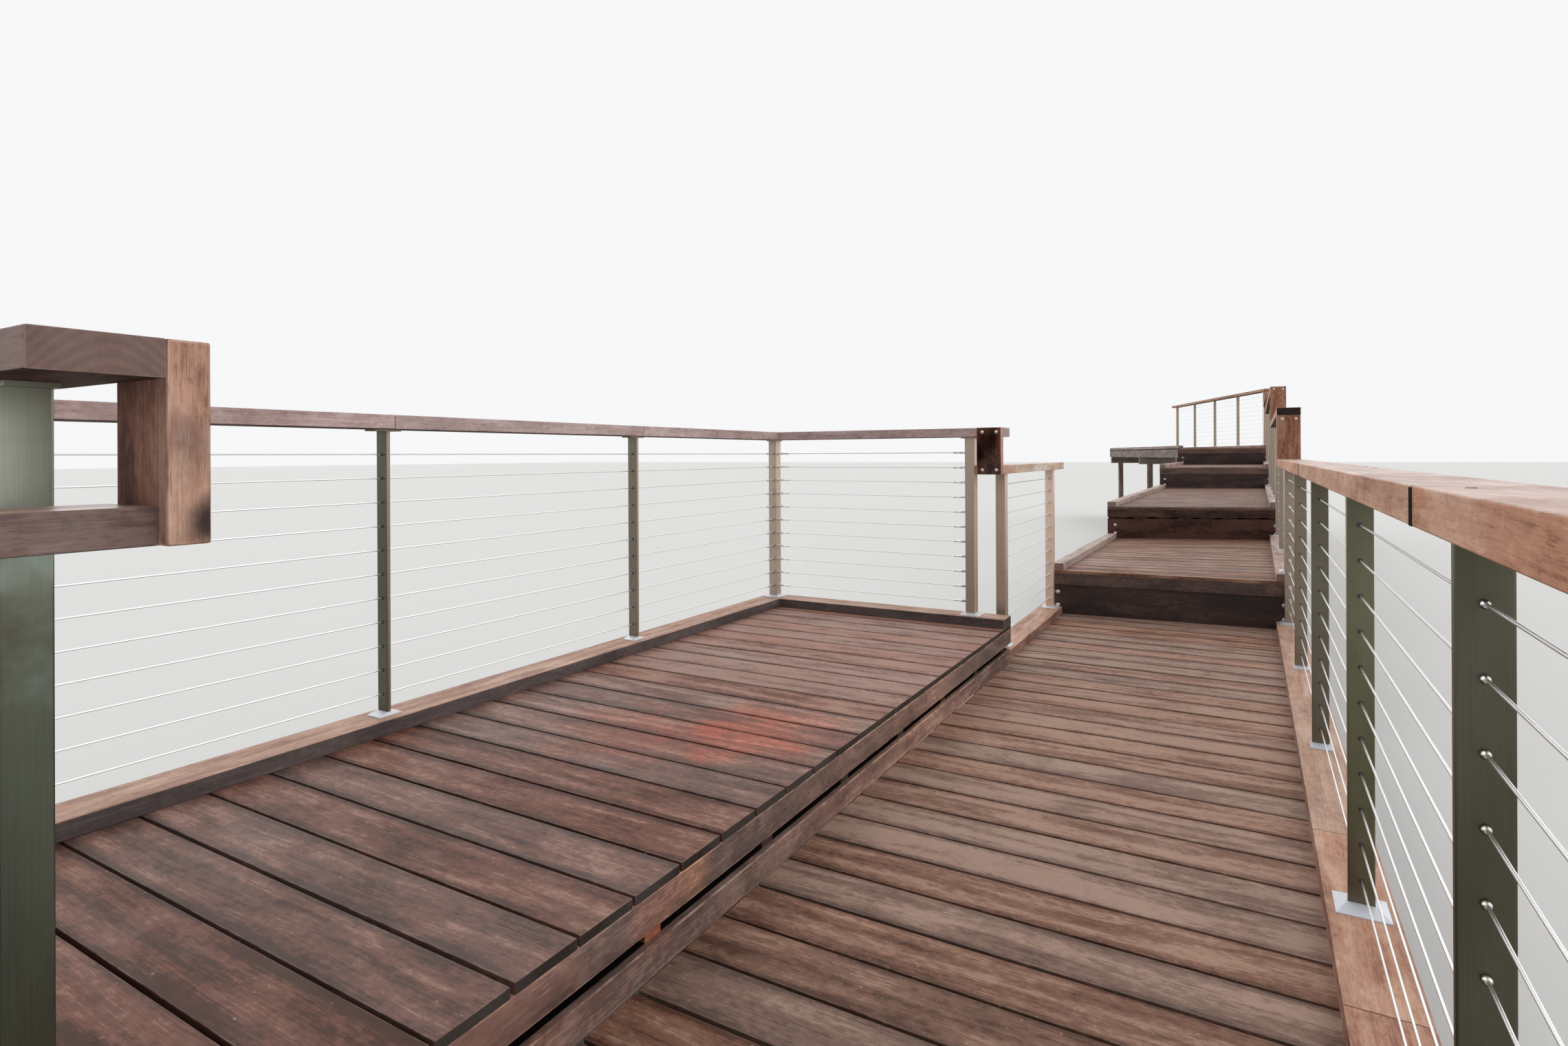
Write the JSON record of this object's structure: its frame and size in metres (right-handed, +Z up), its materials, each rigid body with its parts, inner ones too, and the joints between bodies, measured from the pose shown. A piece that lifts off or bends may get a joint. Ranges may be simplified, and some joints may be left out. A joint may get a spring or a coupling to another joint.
{
  "type": "wooden deck stairs",
  "caption": "Broad wooden deck stairs with long treads, a railed walkway and a raised side platform, steel posts and taut wires",
  "frame": {"origin": "on the ground under the first riser, on the walkway's centre line, at the foot of the middle stump", "axes": "+X to the right when climbing, +Y along the walkway and up the steps, +Z up"},
  "size_m": [3.1444, 20.8464, 2.548],
  "materials": {
    "deck_timber": "weathered red-brown hardwood boards",
    "frame_timber": "rough sawn hardwood",
    "kerb_timber": "dressed hardwood, worn edges",
    "rail_timber": "oiled hardwood with rounded edges",
    "riser_timber": "dark stained hardwood",
    "post_steel": "satin stainless tube",
    "plate_steel": "polished stainless cover plates",
    "wire_steel": "stainless wire rope"
  },
  "bodies": {
    "root": {"bearers": "frame_timber", "cover_plates": "plate_steel", "end_boards": "frame_timber", "far_left_wires": "wire_steel", "first_step_wires": "wire_steel", "first_tread": "deck_timber", "near_left_wires": "wire_steel", "platform_back_handrail": "rail_timber", "platform_back_kerb": "kerb_timber", "platform_back_wires": "wire_steel", "platform_decking": "deck_timber", "platform_edge_boards": "frame_timber", "platform_end_handrails": "rail_timber", "platform_end_kerbs": "kerb_timber", "platform_far_wires": "wire_steel", "platform_fascia": "riser_timber", "platform_joists": "frame_timber", "platform_lower_board": "riser_timber", "platform_near_wires": "wire_steel", "platform_packers": "riser_timber", "platform_posts": "post_steel", "rail_joining_boards": "rail_timber", "second_step_wires": "wire_steel", "second_tread": "deck_timber", "step_fascias": "riser_timber", "step_handrails": "rail_timber", "step_joists": "frame_timber", "step_kerbs": "kerb_timber", "step_packers": "riser_timber", "step_posts": "post_steel", "step_risers": "riser_timber", "stumps": "frame_timber", "third_step_wires": "wire_steel", "third_tread": "deck_timber", "upper_decking": "deck_timber", "upper_handrail": "rail_timber", "upper_joists": "frame_timber", "upper_kerbs": "kerb_timber", "upper_posts": "post_steel", "upper_wires": "wire_steel", "walkway_decking": "deck_timber", "walkway_handrails": "rail_timber", "walkway_joists": "frame_timber", "walkway_kerbs": "kerb_timber", "walkway_posts": "post_steel", "walkway_right_wires": "wire_steel"}
  },
  "joints": []
}
